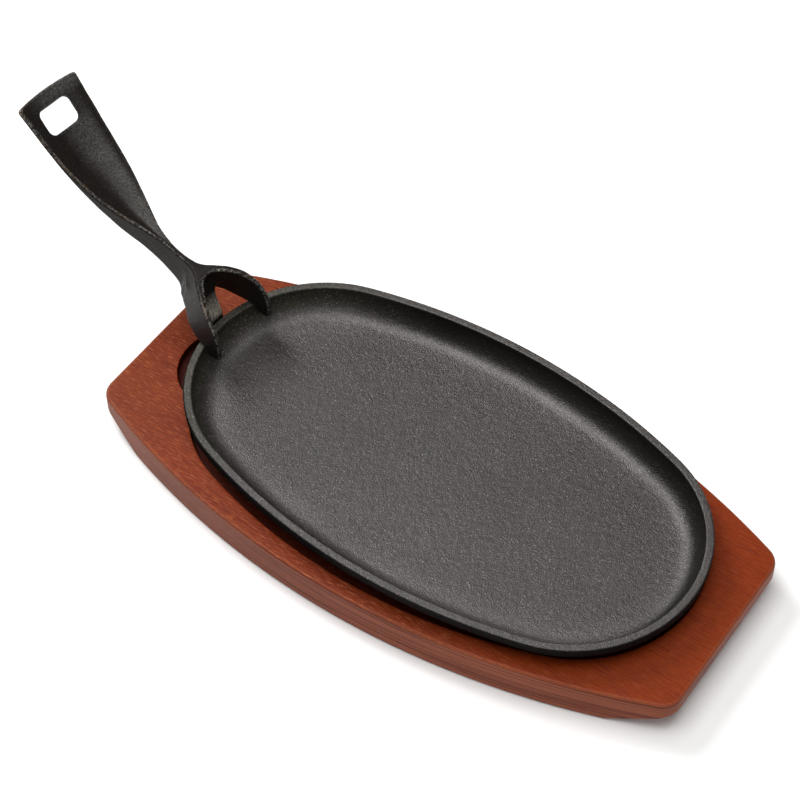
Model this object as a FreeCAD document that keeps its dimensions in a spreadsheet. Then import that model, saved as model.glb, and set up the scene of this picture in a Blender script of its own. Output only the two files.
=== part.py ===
import FreeCAD, Part
import math
import os

import Sketcher
from FreeCAD import Placement, Rotation, Vector

# A sizzle platter as it comes to the table: an oval cast-iron plate that sits in a wooden
# underliner board, and a loose cast-iron gripper handle hooked over the plate's rim.
#
# Frame: millimetres, +Z up, z = 0 on the board's underside, origin at the middle of the board.
# X runs along the board. The gripper stands at the -X end and the +Y side is the far side.

SIZES = [
    # wooden underliner board
    ("board_length", 326.0, "over the two straight ends"),
    ("board_middle", 165.6, "width at mid-length"),
    ("board_end", 97.8, "width across each straight end"),
    ("board_height", 20.0, "thickness"),
    ("board_corner", 11.0, "radius of the four corners in plan"),
    ("board_edge", 1.5, "rounding of the upper and lower edges"),
    ("bevel_run", 29.0, "length of the underside bevel at each end"),
    ("bevel_rise", 10.5, "how much the bevel takes off the end's height"),
    ("recess_length", 272.6, "oval recess, end to end"),
    ("recess_width", 153.0, "oval recess, side to side"),
    ("recess_end", 64.2, "radius of the recess at its two ends"),
    ("recess_depth", 5.0, "depth of the recess"),
    ("recess_shift", 5.8, "the recess lies off centre along X"),
    ("recess_side", 2.0, "and along Y"),
    ("recess_turn", 0.5, "degrees about Z"),
    ("notch_x", -117.9, "round notch that gives the gripper's tongue room, X"),
    ("notch_y", -2.0, "round notch, Y"),
    ("notch_radius", 26.9, "round notch"),
    # oval cast-iron plate
    ("plate_length", 280.0, "over the rim"),
    ("plate_width", 157.6, "over the rim"),
    ("plate_end", 68.0, "radius of the rim's outline at its two ends"),
    ("plate_height", 18.3, "foot to rim"),
    ("plate_gap", 0.2, "clearance between the plate's foot and the recess"),
    ("plate_shift", 4.2, "the plate stands off centre along X"),
    ("plate_side", 3.2, "and along Y"),
    ("plate_turn", -2.4, "degrees about Z"),
    ("lip_height", 5.0, "upright outer face under the rim"),
    ("lip_step", 1.2, "undercut below that face"),
    ("rim_width", 4.2, "flat top of the rim"),
    ("rim_edge", 0.8, "rounding of the rim's two edges"),
    ("foot_inset", 17.0, "rim to foot, measured inwards"),
    ("wall_bow", 60.0, "radius of the outer wall's outward bow"),
    ("floor_height", 5.5, "thickness of the plate's floor"),
    ("ring_inset", 32.0, "how far in the swept wall section reaches"),
    ("slab_inset", 27.0, "rim to the edge of the floor slab"),
    # gripper handle: reach is measured outwards along the handle, rise square to it
    ("hook_x", -123.5, "where the prongs stand, X"),
    ("hook_y", 12.1, "where the prongs stand, Y"),
    ("hook_turn", -6.5, "degrees about Z"),
    ("tilt", 30.0, "degrees that the handle climbs"),
    ("fork_outer", 19.0, "half width over the two prongs"),
    ("fork_inner", 16.7, "half width between the two prongs"),
    ("fork_low", 8.0, "underside of the fork's blank, square to the handle"),
    ("fork_deep", 45.0, "depth of the fork's blank"),
    ("shoulder_outer", 19.5, "where the outer sides start to close in"),
    ("shoulder_inner", 17.0, "where the inner sides start to close in"),
    ("waist_reach", 47.5, "where the fork's sides turn into the neck"),
    ("waist_half", 7.0, "half width there"),
    ("crotch_reach", 44.9, "where the inner sides meet the rounded crotch"),
    ("crotch_half", 4.0, "half width there"),
    ("neck_reach", 57.5, "where the neck's crest is at its thinnest"),
    ("neck_end", 62.0, "end of the fork's blank"),
    ("fork_bow_outer", 38.0, "radius of the fork's outer sides"),
    ("fork_bow_inner", 37.0, "radius of the fork's inner sides"),
    ("neck_blend", 14.4, "radius where the fork runs into the neck"),
    ("neck_half", 1.5, "half thickness of the neck's crest"),
    ("crotch_cap", 5.2, "radius at the top of the fork's opening"),
    ("arch_top", 61.4, "height of the fork's crest"),
    ("arch_radius", 25.1, "radius of the crest as it turns down"),
    ("arm_bow", 30.0, "radius of the arms' underside outside the rim"),
    ("prong_front", -5.3, "inner face of the prongs, outwards from hook_x"),
    ("prong_foot", 28.8, "height of the prongs' feet"),
    ("prong_toe", 3.0, "radius of the prongs' inner toe"),
    ("prong_flat", 4.2, "flat sole of the prongs"),
    ("prong_heel", 1.4, "radius of the prongs' heel"),
    ("tongue_face", 5.3, "tongue's inner face carried down to the table, outwards from hook_x"),
    ("tongue_lean", 17.0, "degrees that the tongue leans outwards towards its top"),
    ("tongue_depth", 5.0, "thickness of the tongue"),
    ("tongue_foot", 24.0, "height of the tongue's foot"),
    ("tongue_half", 4.4, "half width of the tongue"),
    ("tongue_corner", 1.5, "radius of the tongue's foot corners"),
    ("tongue_neck", 44.0, "along the tongue, where it starts to narrow into the web"),
    ("tongue_top", 52.0, "along the tongue, where it runs into the web"),
    ("tongue_join", 33.0, "height where the web leaves the tongue"),
    ("web_crown", 49.5, "height of the web above the tongue"),
    ("web_hollow", 14.0, "radius under the web"),
    ("web_lap", 0.5, "how far the web reaches into its neighbours"),
    ("web_half", 3.4, "half thickness of the web behind the tongue"),
    ("hole_reach", 153.6, "middle of the hanging hole"),
    ("hole_width", 19.0, "hanging hole, across"),
    ("hole_length", 13.0, "hanging hole, along"),
    ("hole_corner", 3.0, "corner radius of the hanging hole"),
    ("tip_reach", 167.6, "middle of the rounded tip"),
    ("tip_bow", 110.0, "radius of the tip in plan"),
    ("tip_side", 30.0, "half width of the cut that rounds the tip"),
    ("tip_over", 20.0, "how far that cut runs past the tip"),
    ("above_all", 80.0, "square to the handle, above all of the gripper"),
    ("through_all", 100.0, "length of a cut that runs right through"),
]

# Corners of the gripper's side view: outwards from the hook point, up from the board's underside.
SIDE_CORNERS = {
    "rim_inner": (4.05, 34.1),
    "rim_outer": (10.5, 34.4),
    "arm_root": (24.0, 41.5),
    "neck_root": (33.5, 41.5),
    "neck_under": (46.0, 46.2),
    "neck_over": (46.0, 64.0),
    "arch_end": (38.0, 62.7),
    "web_peak": (24.0, 55.0),
    "web_back": (28.5, 50.0),
    "web_heel": (28.5, 42.5),
}
for corner, (out, up) in SIDE_CORNERS.items():
    SIZES.append((f"{corner}_out", out, f"{corner}, outwards"))
    SIZES.append((f"{corner}_up", up, f"{corner}, height"))

# Cross-sections of the grip, from the neck outwards: reach, crest height, half width,
# height of the side walls' lower edge, and depth of the dished trough.
GRIP_SECTIONS = [
    (54.0, 39.6, 2.0, 18.2, 0.3),
    (66.0, 34.6, 1.6, 17.0, 0.3),
    (80.0, 32.0, 3.4, 17.0, 0.9),
    (94.0, 31.4, 8.2, 19.9, 2.8),
    (110.0, 32.0, 13.3, 26.2, 4.6),
    (128.0, 33.9, 16.3, 31.0, 4.8),
    (148.0, 38.6, 18.3, 36.8, 4.2),
    (170.0, 45.6, 19.7, 43.8, 2.6),
]
SECTION_WORDS = ("reach", "crest", "half", "hem", "dish")
for number, section in enumerate(GRIP_SECTIONS):
    for word, figure in zip(SECTION_WORDS, section):
        SIZES.append((f"grip_{number}_{word}", figure, f"grip section {number}, {word}"))
SIZES.append(("grip_rim", 1.2, "width of the trough's side rims"))
SIZES.append(("grip_wall", 3.8, "metal under the trough"))

TINY = 0.01

doc = FreeCAD.newDocument("sizzle_platter")
sheet = doc.addObject("Spreadsheet::Sheet", "Sizes")
for row, (alias, figure, note) in enumerate(SIZES, start=1):
    sheet.set(f"A{row}", alias)
    sheet.set(f"B{row}", str(figure))
    sheet.set(f"C{row}", note)
    sheet.setAlias(f"B{row}", alias)
doc.recompute()


class Size:
    """A length or an angle with the expression that gives it from the sheet."""

    def __init__(self, number, text):
        self.number = number
        self.text = text

    def __add__(self, other):
        other = as_size(other)
        return Size(self.number + other.number, f"({self.text} + {other.text})")

    def __sub__(self, other):
        other = as_size(other)
        return Size(self.number - other.number, f"({self.text} - {other.text})")

    def __mul__(self, other):
        other = as_size(other)
        return Size(self.number * other.number, f"({self.text} * {other.text})")

    def __truediv__(self, other):
        other = as_size(other)
        return Size(self.number / other.number, f"({self.text} / {other.text})")

    def __neg__(self):
        return Size(-self.number, f"(0 - {self.text})")


def as_size(value):
    return value if isinstance(value, Size) else Size(float(value), f"{value:g}")


def size(alias):
    return Size(float(sheet.get(alias)), f"Sizes.{alias}")


def root(value):
    return Size(math.sqrt(value.number), f"sqrt({value.text})")


def sine(angle):
    return Size(math.sin(math.radians(angle.number)), f"sin({angle.text} * 1deg)")


def cosine(angle):
    return Size(math.cos(math.radians(angle.number)), f"cos({angle.text} * 1deg)")


def bind(thing, path, value):
    """Sets a property of an object through an expression over the sheet."""
    thing.setExpression(path, as_size(value).text)


def new_body(name):
    body = doc.addObject("PartDesign::Body", name)
    body.Label = name
    return body


def new_sketch(body, name, role, base=(0, 0, 0), turn=0, axis=(1, 0, 0)):
    """A sketch on one of its own body's origin planes, moved and turned about an own axis."""
    plane = next(o for o in body.Origin.OriginFeatures if o.Role == role)
    sketch = body.newObject("Sketcher::SketchObject", name)
    sketch.AttachmentSupport = [(plane, "")]
    sketch.MapMode = "FlatFace"
    base = [as_size(value) for value in base]
    turn = as_size(turn)
    rotation = Rotation(Vector(*axis), turn.number)
    sketch.AttachmentOffset = Placement(Vector(*(value.number for value in base)), rotation)
    for axis, value in zip("xyz", base):
        bind(sketch, f"AttachmentOffset.Base.{axis}", value)
    if turn.number:
        bind(sketch, "AttachmentOffset.Rotation.Angle", turn)
    return sketch


def arc_between(start, end, radius):
    """The short arc between two points: radius over 0 turns left on the way, under 0 right."""
    if radius < 0:
        return arc_between(end, start, -radius)
    half = (end - start) * 0.5
    rise = math.sqrt(max(radius**2 - half.Length**2, 0.0))
    centre = start + half + Vector(-half.y, half.x, 0).normalize() * rise
    angles = [math.atan2((p - centre).y, (p - centre).x) for p in (start, end)]
    circle = Part.Circle(centre, Vector(0, 0, 1), radius)
    return Part.ArcOfCircle(circle, angles[0], angles[1])


def draw(sketch, outline):
    """Adds a closed outline of (x, y, bend) corners: bend is the radius of the arc to the next."""
    corners = [(as_size(x), as_size(y), bend) for x, y, bend in outline]
    points = [Vector(x.number, y.number, 0) for x, y, bend in corners]
    first = sketch.GeometryCount
    ends = []
    for i, (x, y, bend) in enumerate(corners):
        start = points[i]
        end = points[(i + 1) % len(points)]
        if bend is None:
            sketch.addGeometry(Part.LineSegment(start, end))
            ends.append((1, 2))
        else:
            bend = as_size(bend)
            sketch.addGeometry(arc_between(start, end, bend.number))
            ends.append((1, 2) if bend.number > 0 else (2, 1))
    for i, (x, y, bend) in enumerate(corners):
        following = (i + 1) % len(corners)
        pair = (first + i, ends[i][1], first + following, ends[following][0])
        sketch.addConstraint(Sketcher.Constraint("Coincident", *pair))
        for kind, value in (("DistanceX", x), ("DistanceY", y)):
            spot = (-1, 1, first + i, ends[i][0])
            index = sketch.addConstraint(Sketcher.Constraint(kind, *spot, value.number))
            name = f"corner{first + i}{kind[-1]}"
            sketch.renameConstraint(index, name)
            bind(sketch, f"Constraints.{name}", value)
        if bend is not None:
            bend = as_size(bend)
            reach = bend if bend.number > 0 else -bend
            index = sketch.addConstraint(Sketcher.Constraint("Radius", first + i, reach.number))
            name = f"bend{first + i}"
            sketch.renameConstraint(index, name)
            bind(sketch, f"Constraints.{name}", reach)
    doc.recompute()


def pad(body, name, sketch, length, both_ways=False):
    feature = body.newObject("PartDesign::Pad", name)
    feature.Profile = sketch
    if both_ways:
        feature.SideType = "Symmetric"
    bind(feature, "Length", length)
    return feature


def pocket(body, name, sketch, length, both_ways=False):
    """Cuts into the body and makes sure that the cut took metal away."""
    doc.recompute()
    before = body.Shape.Volume
    feature = body.newObject("PartDesign::Pocket", name)
    feature.Profile = sketch
    if both_ways:
        feature.SideType = "Symmetric"
    bind(feature, "Length", length)
    doc.recompute()
    if not feature.Shape.Volume < before - 1.0:
        raise ValueError(f"{name} cut nothing")
    return feature


def fillet(body, name, wanted, radius):
    """Rounds the edges of the body that wanted() picks."""
    doc.recompute()
    tip = body.Tip
    picked = [f"Edge{i}" for i, edge in enumerate(tip.Shape.Edges, start=1) if wanted(edge)]
    feature = body.newObject("PartDesign::Fillet", name)
    feature.Base = (tip, picked)
    bind(feature, "Radius", radius)
    doc.recompute()
    return feature


def oval(length, width, end, inset=0):
    """Corners of an oval of four arcs that meet tangentially, drawn some way inside another."""
    half, side, end = length / 2, width / 2, as_size(end)
    bow = (half * half + side * side - half * end * 2) / ((side - end) * 2)
    over = half - end
    up = bow - side
    joint_x = over + over * (end - inset) / (bow - end)
    joint_y = up * (end - inset) / (bow - end)
    return [
        (joint_x, joint_y, bow - inset),
        (-joint_x, joint_y, end - inset),
        (-joint_x, -joint_y, bow - inset),
        (joint_x, -joint_y, end - inset),
    ]


def make_board():
    body = new_body("wooden_board")
    half, middle, end = size("board_length") / 2, size("board_middle") / 2, size("board_end") / 2
    height = size("board_height")
    bulge = middle - end
    bow = (half * half + bulge * bulge) / (bulge * 2)

    outline = new_sketch(body, "board_outline", "XY_Plane")
    draw(outline, [(-half, -end, bow), (half, -end, None), (half, end, bow), (-half, end, None)])
    pad(body, "board_blank", outline, height)

    def upright(edge):
        ends = edge.Vertexes
        return len(ends) == 2 and abs(ends[0].Z - ends[1].Z) > height.number / 2

    fillet(body, "board_corners", upright, size("board_corner"))

    run, rise = size("bevel_run"), size("bevel_rise")
    for name, way in (("near", 1), ("far", -1)):
        wedge = new_sketch(body, f"bevel_{name}", "XZ_Plane")
        foot = (half - run) * way
        tip = half * way
        draw(wedge, [(foot, 0, None), (tip, 0, None), (tip, rise, None)])
        pocket(body, f"underside_bevel_{name}", wedge, middle * 4, both_ways=True)

    def rim(edge):
        spot = edge.valueAt((edge.FirstParameter + edge.LastParameter) / 2)
        flat = abs(spot.z - height.number) < TINY or abs(spot.z) < TINY
        across = abs(abs(spot.x) - half.number + run.number) < TINY
        return flat and edge.BoundBox.ZLength < TINY and not across

    fillet(body, "board_edges", rim, size("board_edge"))

    base = (size("recess_shift"), size("recess_side"), height)
    recess = new_sketch(body, "recess_outline", "XY_Plane", base, size("recess_turn"), (0, 0, 1))
    draw(recess, oval(size("recess_length"), size("recess_width"), size("recess_end")))
    pocket(body, "recess", recess, size("recess_depth"))

    x, y, radius = size("notch_x"), size("notch_y"), size("notch_radius")
    notch = new_sketch(body, "notch_outline", "XY_Plane", (0, 0, height))
    draw(notch, [
        (x + radius, y, radius),
        (x, y + radius, radius),
        (x - radius, y, radius),
        (x, y - radius, radius),
    ])
    pocket(body, "tongue_notch", notch, size("recess_depth"))
    return body


def make_plate():
    body = new_body("sizzle_plate")
    half, height = size("plate_length") / 2, size("plate_height")
    shape = (size("plate_length"), size("plate_width"), size("plate_end"))
    lip, rim, edge = size("lip_height"), size("rim_width"), size("rim_edge")
    floor, ring = size("floor_height"), size("ring_inset")
    cove = height - floor - edge

    path = new_sketch(body, "rim_path", "XY_Plane")
    draw(path, oval(*shape))

    wall = new_sketch(body, "wall_section", "XZ_Plane")
    draw(wall, [
        (half - size("foot_inset"), 0, size("wall_bow")),
        (half - size("lip_step"), height - lip, None),
        (half, height - lip, None),
        (half, height - edge, edge),
        (half - edge, height, None),
        (half - rim + edge, height, edge),
        (half - rim, height - edge, -cove),
        (half - rim - cove, floor, None),
        (half - ring, floor, None),
        (half - ring, 0, None),
    ])
    swept = body.newObject("PartDesign::AdditivePipe", "rim_and_wall")
    swept.Profile = wall
    swept.Spine = (path, [f"Edge{i + 1}" for i in range(4)])
    doc.recompute()

    floor_outline = new_sketch(body, "floor_outline", "XY_Plane")
    draw(floor_outline, oval(*shape, inset=size("slab_inset")))
    pad(body, "plate_floor", floor_outline, floor)

    body.Placement = Placement(Vector(0, 0, 0), Rotation(Vector(0, 0, 1), 0.1))
    bind(body, "Placement.Base.x", size("plate_shift"))
    bind(body, "Placement.Base.y", size("plate_side"))
    seat = size("board_height") - size("recess_depth") + size("plate_gap")
    bind(body, "Placement.Base.z", seat)
    bind(body, "Placement.Rotation.Angle", size("plate_turn"))
    return body


def along_handle(out, up):
    """Sketch corner on the gripper's mid-plane for a spot given outwards and upwards."""
    tilt = size("tilt")
    out, up = as_size(out), as_size(up)
    return (-(out * cosine(tilt) + up * sine(tilt)), up * cosine(tilt) - out * sine(tilt))


def side_corner(name):
    return along_handle(size(f"{name}_out"), size(f"{name}_up"))


def make_fork(body):
    """The pointed arch of the gripper with its two prongs, out as far as the neck."""
    outer, neck, bow, blend = (
        size(alias) for alias in ("fork_outer", "neck_half", "fork_bow_outer", "neck_blend")
    )
    shoulder, waist, waist_half = size("shoulder_outer"), size("waist_reach"), size("waist_half")
    reach, end = size("neck_reach"), size("neck_end")
    plan = new_sketch(body, "fork_plan", "XY_Plane", (0, 0, size("fork_low")))
    draw(plan, [
        (0, -outer, None),
        (0, outer, None),
        (-shoulder, outer, bow),
        (-waist, waist_half, -blend),
        (-reach, neck, None),
        (-end, neck, None),
        (-end, -neck, None),
        (-reach, -neck, -blend),
        (-waist, -waist_half, bow),
        (-shoulder, -outer, None),
    ])
    pad(body, "fork_blank", plan, size("fork_deep"))

    above, through = size("above_all"), size("through_all")
    inner, curve, shoulder = size("fork_inner"), size("fork_bow_inner"), size("shoulder_inner")
    crotch, crotch_half = size("crotch_reach"), size("crotch_half")
    opening = new_sketch(body, "fork_opening_plan", "XY_Plane", (0, 0, above))
    draw(opening, [
        (outer, inner, None),
        (-shoulder, inner, curve),
        (-crotch, crotch_half, size("crotch_cap")),
        (-crotch, -crotch_half, curve),
        (-shoulder, -inner, None),
        (outer, -inner, None),
    ])
    pocket(body, "fork_opening", opening, through)

    top, front, foot = size("arch_top"), size("prong_front"), size("prong_foot")
    crest, toe, heel = size("arch_radius"), size("prong_toe"), size("prong_heel")
    sole = front + toe + size("prong_flat")
    side = new_sketch(body, "fork_side", "XZ_Plane")
    draw(side, [
        (above, -above, None),
        (above, through, None),
        (-through, through, None),
        (-through, -above, None),
    ])
    draw(side, [
        (*along_handle(front + crest, top), -crest),
        (*along_handle(front, top - crest), None),
        (*along_handle(front, foot + toe), -toe),
        (*along_handle(front + toe, foot), None),
        (*along_handle(sole, foot), -heel),
        (*along_handle(sole + heel, foot + heel), None),
        (*side_corner("rim_inner"), None),
        (*side_corner("rim_outer"), size("arm_bow")),
        (*side_corner("arm_root"), None),
        (*side_corner("neck_root"), None),
        (*side_corner("neck_under"), None),
        (*side_corner("neck_over"), None),
        (*side_corner("arch_end"), None),
    ])
    pocket(body, "fork_trim", side, through, both_ways=True)


def make_tongue(body):
    """The tongue that stands outside the plate's rim, with the web that carries it."""
    tilt, lean = size("tilt"), size("tongue_lean")
    face, depth, foot = size("tongue_face"), size("tongue_depth"), size("tongue_foot")
    half, web, lap = size("tongue_half"), size("web_half"), size("web_lap")
    join, crown = size("tongue_join"), size("web_crown")
    slope = sine(lean) / cosine(lean)
    web_side = new_sketch(body, "web_side", "XZ_Plane")
    draw(web_side, [
        (*along_handle(face + join * slope + lap, join), None),
        (*along_handle(face + crown * slope + lap, crown), None),
        (*side_corner("web_peak"), None),
        (*side_corner("web_back"), None),
        (*side_corner("web_heel"), -size("web_hollow")),
        (*along_handle(face + join * slope + depth - lap, join), None),
    ])
    pad(body, "tongue_web", web_side, web * 2, both_ways=True)

    out = face + depth
    base = (0, -(out * sine(tilt)), -(out * cosine(tilt)))
    corner, neck, top = size("tongue_corner"), size("tongue_neck"), size("tongue_top")
    foot = foot / cosine(lean)
    front = new_sketch(body, "tongue_front", "YZ_Plane", base, -(tilt + lean))
    draw(front, [
        (-(half - corner), foot, None),
        (half - corner, foot, corner),
        (half, foot + corner, None),
        (half, neck, None),
        (web, top, None),
        (-web, top, None),
        (-half, neck, None),
        (-half, foot + corner, corner),
    ])
    pad(body, "tongue", front, depth)


def make_grip(body):
    """The dished grip, lofted through its cross-sections, with its hanging hole."""
    sketches = []
    for number in range(len(GRIP_SECTIONS)):
        reach, crest, half, hem, dish = (
            size(f"grip_{number}_{word}") for word in SECTION_WORDS
        )
        rim = size("grip_rim") if half.number > 5 else half * 0.3
        span = half - rim
        trough = (span * span + dish * dish) / (dish * 2)
        belly = size(f"grip_{number}_dish") + size("grip_wall")
        under = crest - belly
        sag = hem - under if hem.number - under.number > 0.6 else as_size(0.6)
        bottom = (half * half + sag * sag) / (sag * 2)
        sketch = new_sketch(body, f"grip_section_{number}", "YZ_Plane", (0, 0, -reach))
        draw(sketch, [
            (-half, hem, bottom),
            (half, hem, None),
            (half, crest, None),
            (span, crest, -trough),
            (-span, crest, None),
            (-half, crest, None),
        ])
        sketches.append(sketch)
    grip = body.newObject("PartDesign::AdditiveLoft", "grip")
    grip.Profile = sketches[0]
    grip.Sections = sketches[1:]
    grip.Ruled = True
    doc.recompute()

    reach, bow = size("tip_reach"), size("tip_bow")
    above, through = size("above_all"), size("through_all")
    tip = new_sketch(body, "tip_plan", "XY_Plane", (0, 0, above))
    side, over = size("tip_side"), size("tip_over")
    drop = bow - root(bow * bow - side * side)
    draw(tip, [
        (-(reach - drop), side, bow),
        (-(reach - drop), -side, None),
        (-(reach + over), -side, None),
        (-(reach + over), side, None),
    ])
    pocket(body, "tip_trim", tip, through)

    centre, across, along = size("hole_reach"), size("hole_width") / 2, size("hole_length") / 2
    corner = size("hole_corner")
    hole = new_sketch(body, "hole_plan", "XY_Plane", (0, 0, above))
    draw(hole, [
        (-(centre + along) + corner, -across, None),
        (-(centre - along) - corner, -across, corner),
        (-(centre - along), -across + corner, None),
        (-(centre - along), across - corner, corner),
        (-(centre - along) - corner, across, None),
        (-(centre + along) + corner, across, corner),
        (-(centre + along), across - corner, None),
        (-(centre + along), -across + corner, corner),
    ])
    pocket(body, "hanging_hole", hole, through)


def make_gripper():
    body = new_body("gripper_handle")
    make_fork(body)
    make_tongue(body)
    make_grip(body)
    turn = Rotation(Vector(0, 0, 1), size("hook_turn").number)
    lean = Rotation(Vector(0, 1, 0), size("tilt").number)
    place = Vector(size("hook_x").number, size("hook_y").number, 0)
    body.Placement = Placement(place, turn.multiply(lean))
    bind(body, "Placement.Base.x", size("hook_x"))
    bind(body, "Placement.Base.y", size("hook_y"))
    return body


parts = [make_board(), make_plate(), make_gripper()]
doc.recompute()

for thing in doc.Objects:
    if "Invalid" in thing.State or "Error" in thing.State:
        raise ValueError(f"{thing.Name} did not compute: {thing.State}")
for part in parts:
    if part.Shape.isNull() or not part.Shape.isValid() or len(part.Shape.Solids) != 1:
        raise ValueError(f"{part.Label} is not one valid solid")

os.makedirs("parts", exist_ok=True)
for part in parts:
    part.Shape.exportStep(f"parts/{part.Label}.step")
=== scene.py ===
import math

import bpy
import numpy as np
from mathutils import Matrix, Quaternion, Vector


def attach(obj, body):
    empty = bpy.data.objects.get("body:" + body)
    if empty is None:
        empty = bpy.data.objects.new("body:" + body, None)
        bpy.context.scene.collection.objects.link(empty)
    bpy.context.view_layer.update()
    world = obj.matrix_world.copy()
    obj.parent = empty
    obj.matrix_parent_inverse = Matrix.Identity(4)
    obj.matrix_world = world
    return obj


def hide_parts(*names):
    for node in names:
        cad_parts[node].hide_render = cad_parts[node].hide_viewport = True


# Looks for the sizzle platter: oval cast-iron plate, wooden underliner and gripper handle.
# Shapes are worked out in millimetres in the CAD frame and turned into metres by add_mesh.

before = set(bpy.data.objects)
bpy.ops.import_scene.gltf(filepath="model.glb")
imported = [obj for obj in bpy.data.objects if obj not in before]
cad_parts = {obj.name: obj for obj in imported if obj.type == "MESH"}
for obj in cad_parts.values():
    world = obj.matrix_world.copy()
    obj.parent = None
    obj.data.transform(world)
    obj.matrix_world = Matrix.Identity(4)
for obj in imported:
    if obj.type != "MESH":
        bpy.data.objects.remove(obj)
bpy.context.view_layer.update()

MM = 0.001
BOARD_TOP = 20.0
BEVEL = (29.0, 10.5)
PLATE_SPOT = (4.2, 3.2, 15.2)
PLATE_TURN = math.radians(-2.4)
HOOK_SPOT = (-123.5, 12.1)
HOOK_TURN = math.radians(-6.5)
TILT = math.radians(30.0)
TONGUE_LEAN = math.radians(17.0)
TONGUE_OUT = 5.3
GRIP_REACH = (
    48.0, 54.0, 60.0, 66.0, 73.0, 80.0, 87.0, 94.0, 102.0, 110.0, 119.0, 128.0, 138.0, 148.0,
    159.0, 172.0,
)
GRIP_HALF = (
    3.0, 2.6, 1.6, 1.5, 2.1, 3.4, 5.8, 8.3, 10.9, 13.2, 15.0, 16.4, 17.5, 18.4, 19.1, 19.9,
)


# ---------------------------------------------------------------- mesh helpers

def add_mesh(name, points, faces, body, node, sharp=None):
    """A smooth-shaded piece from points in millimetres, standing for one CAD node."""
    mesh = bpy.data.meshes.new(name)
    mesh.from_pydata((np.asarray(points) * MM).tolist(), [], faces)
    mesh.validate()
    mesh.shade_smooth()
    if sharp is not None:
        mesh.set_sharp_from_angle(angle=math.radians(sharp))
    thing = bpy.data.objects.new(name, mesh)
    bpy.context.scene.collection.objects.link(thing)
    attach(thing, body)
    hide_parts(node)
    return thing


def add_attribute(thing, name, values):
    attribute = thing.data.attributes.new(name, "FLOAT", "POINT")
    attribute.data.foreach_set("value", np.asarray(values, np.float32))


def band(first, second, count):
    """Quads between two closed rings of count points that start at these indices."""
    i = np.arange(count)
    j = (i + 1) % count
    return np.stack([first + i, first + j, second + j, second + i], 1).tolist()


def curve(x, xs, ys):
    """Smooth curve through the points (xs, ys), flat where two neighbours are level."""
    xs, ys = np.asarray(xs, float), np.asarray(ys, float)
    step = np.diff(xs)
    slope = np.diff(ys) / step
    tangent = np.zeros_like(ys)
    tangent[0], tangent[-1] = slope[0], slope[-1]
    same = slope[:-1] * slope[1:] > 0
    mean = 2 * slope[:-1] * slope[1:] / np.where(same, slope[:-1] + slope[1:], 1.0)
    tangent[1:-1] = np.where(same, mean, 0.0)
    x = np.clip(x, xs[0], xs[-1])
    k = np.clip(np.searchsorted(xs, x) - 1, 0, len(xs) - 2)
    h = step[k]
    t = (x - xs[k]) / h
    return (
        (1 + 2 * t) * (1 - t) ** 2 * ys[k]
        + t * (1 - t) ** 2 * h * tangent[k]
        + t * t * (3 - 2 * t) * ys[k + 1]
        + t * t * (t - 1) * h * tangent[k + 1]
    )


def ripple(a, b, seed):
    """Gentle seeded unevenness, about -1 to 1, from a sum of slanted waves."""
    waves = np.random.default_rng(seed).uniform(size=(7, 3))
    total = np.zeros(np.broadcast(a, b).shape)
    for turn, pitch, phase in waves:
        angle = turn * 2 * np.pi
        rate = 0.12 + 0.5 * pitch
        total = total + np.sin((a * np.cos(angle) + b * np.sin(angle)) * rate + phase * 9)
    return total / 4


# ---------------------------------------------------------------- board

def oval(half, side, end, count):
    """Points and outward normals of an oval of four arcs, anticlockwise from +X."""
    bow = (half**2 + side**2 - 2 * half * end) / (2 * (side - end))
    split = math.atan2(bow - side, half - end)
    t = (np.arange(count) + 0.5) / count * 2 * np.pi
    arcs = [
        (-split, split, end, (half - end, 0.0)),
        (split, np.pi - split, bow, (0.0, side - bow)),
        (np.pi - split, np.pi + split, end, (end - half, 0.0)),
        (np.pi + split, 2 * np.pi - split, bow, (0.0, bow - side)),
    ]
    lengths = np.array([(b - a) * r for a, b, r, _ in arcs])
    ends = np.concatenate([[0], np.cumsum(lengths)])
    run = (t / (2 * np.pi) * ends[-1] + lengths[0] / 2) % ends[-1]
    k = np.clip(np.searchsorted(ends, run, side="right") - 1, 0, 3)
    start, stop, radius = (np.array([arc[i] for arc in arcs])[k] for i in range(3))
    centre = np.array([arc[3] for arc in arcs])[k]
    angle = start + (stop - start) * (run - ends[k]) / lengths[k]
    normal = np.stack([np.cos(angle), np.sin(angle)], 1)
    return centre + normal * radius[:, None], normal


def board_outline():
    """Plan of the board with its four rounded corners: points and outward normals."""
    half, middle, end, corner = 163.0, 82.8, 48.9, 11.0
    bulge = middle - end
    bow = (half**2 + bulge**2) / (2 * bulge)
    drop = bow - middle
    corner_x = half - corner
    corner_y = math.sqrt((bow - corner) ** 2 - corner_x**2) - drop
    lean = math.atan2(corner_x, corner_y + drop)
    points, normals = [], []
    for y in np.linspace(0, corner_y, 60, endpoint=False):
        points.append((half, y))
        normals.append((1.0, 0.0))
    for angle in np.linspace(0, np.pi / 2 - lean, 16, endpoint=False):
        way = (math.cos(angle), math.sin(angle))
        points.append((corner_x + corner * way[0], corner_y + corner * way[1]))
        normals.append(way)
    crease = 163.0 - BEVEL[0]
    slants = np.append(np.linspace(lean, 0, 110), math.asin(crease / bow))
    for angle in np.sort(np.unique(slants))[::-1]:
        way = (math.sin(angle), math.cos(angle))
        points.append((bow * way[0], bow * way[1] - drop))
        normals.append(way)
    points, normals = np.array(points), np.array(normals)
    flip = np.array([-1.0, 1.0])
    points = np.concatenate([points, points[-2::-1] * flip])
    normals = np.concatenate([normals, normals[-2::-1] * flip])
    mirror = np.array([1.0, -1.0])
    points = np.concatenate([points, points[-2:0:-1] * mirror])
    normals = np.concatenate([normals, normals[-2:0:-1] * mirror])
    return points, normals


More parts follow.
